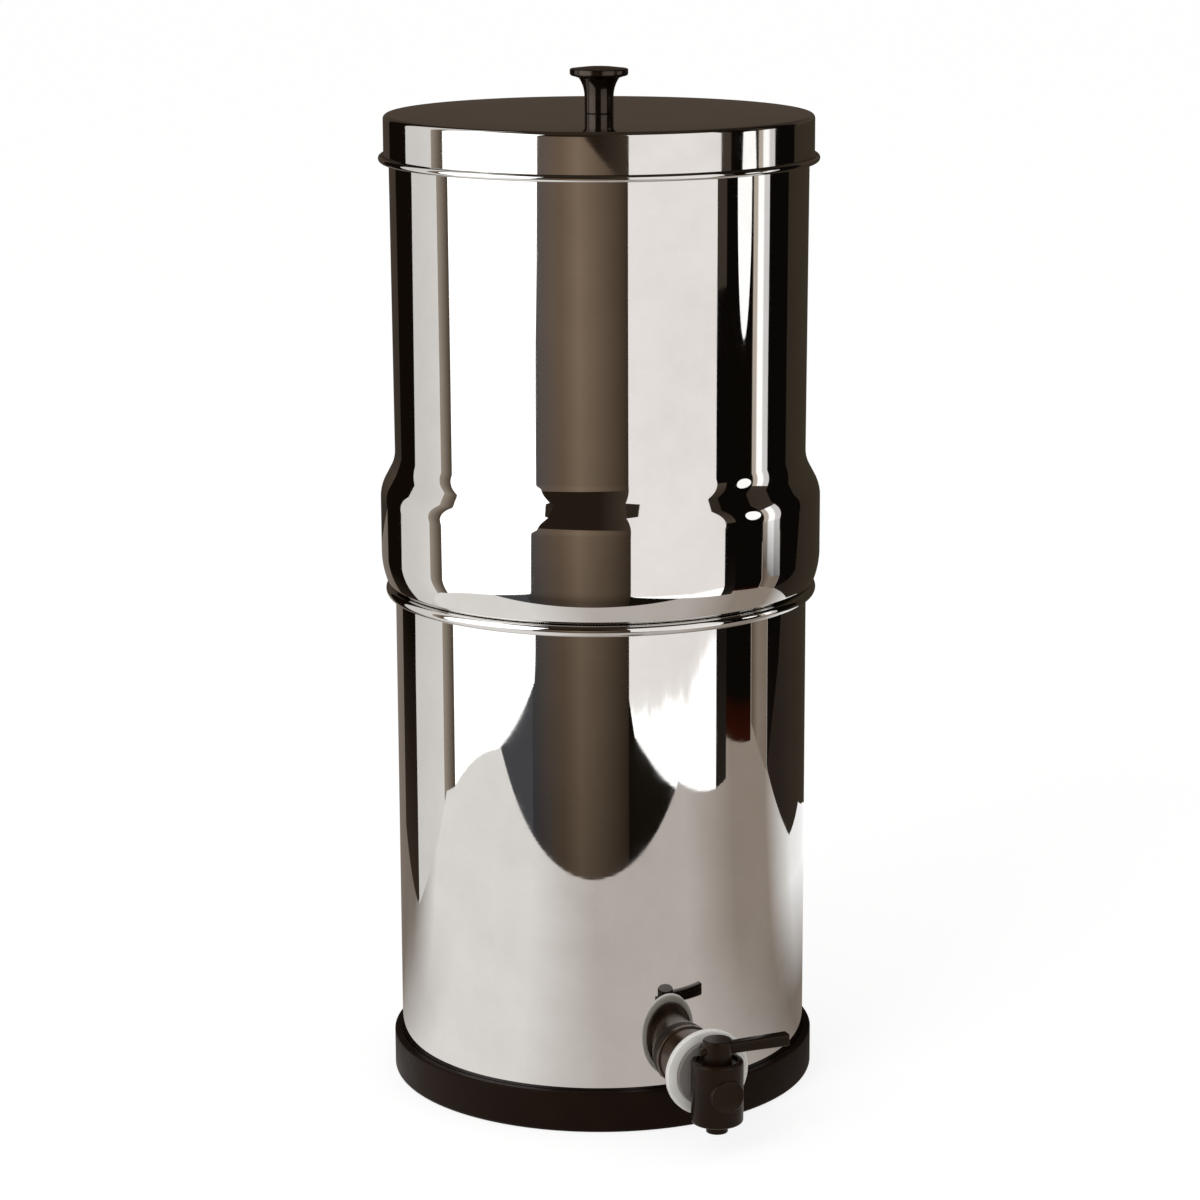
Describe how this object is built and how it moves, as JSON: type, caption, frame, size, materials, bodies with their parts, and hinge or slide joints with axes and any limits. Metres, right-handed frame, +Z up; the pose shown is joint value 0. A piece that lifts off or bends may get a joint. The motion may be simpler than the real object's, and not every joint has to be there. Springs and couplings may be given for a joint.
{
  "type": "gravity water filter with tap",
  "caption": "Stacked sheet-steel gravity water filter: an upper chamber with filter elements on a lower tank with a lever tap, with a lift-off lid and a rubber base ring.",
  "frame": {"origin": "centre of the base ring's flat underside, on the axis of both chambers", "axes": "+Z up along the chambers' axis, the tap points along -Y, the closed lever points along +X"},
  "size_m": [0.2024, 0.2458, 0.4707],
  "materials": {
    "polished_steel": "mirror-polished stainless sheet steel",
    "knob_steel": "plain bright steel",
    "base_rubber": "matt moulded rubber",
    "seal_rubber": "matt black rubber",
    "white_silicone": "translucent white silicone",
    "tap_plastic": "black moulded plastic, satin gloss",
    "knob_plastic": "black moulded plastic, glossy",
    "filter_plastic": "black moulded plastic, satin",
    "carbon": "pressed carbon block, matt"
  },
  "bodies": {
    "lower_tank": {"base_ring": "base_rubber", "lower_chamber": "polished_steel", "wall_gasket": "seal_rubber", "tap_spacer": "tap_plastic", "outer_washer": "white_silicone", "tap_body": "tap_plastic", "plug_retainer": "tap_plastic", "inner_washer": "white_silicone", "lock_nut": "tap_plastic"},
    "tap_valve": {"tap_plug": "tap_plastic", "plug_o_rings": "seal_rubber", "tap_lever": "tap_plastic"},
    "upper_tank": {"upper_chamber": "polished_steel", "filter_seals": "seal_rubber", "filter_base_left": "filter_plastic", "filter_base_right": "filter_plastic", "filter_block_left": "carbon", "filter_block_right": "carbon", "filter_cap_left": "filter_plastic", "filter_cap_right": "filter_plastic", "wing_nuts": "filter_plastic"},
    "lid": {"lid": "polished_steel", "lid_knob": "knob_plastic", "knob_washer": "knob_steel", "knob_screw": "knob_steel"}
  },
  "joints": [
    {"name": "tap_turn", "type": "hinge", "parent": "lower_tank", "child": "tap_valve", "pos_m": [0, -0.1322, 0.034], "axis": [0, 0, -1], "range_deg": [0, 90]},
    {"name": "upper_lift", "type": "slide", "parent": "lower_tank", "child": "upper_tank", "axis": [0, 0, 1], "range_m": [0, 0.07]},
    {"name": "lid_lift", "type": "slide", "parent": "upper_tank", "child": "lid", "axis": [0, 0, 1], "range_m": [0, 0.05]}
  ]
}
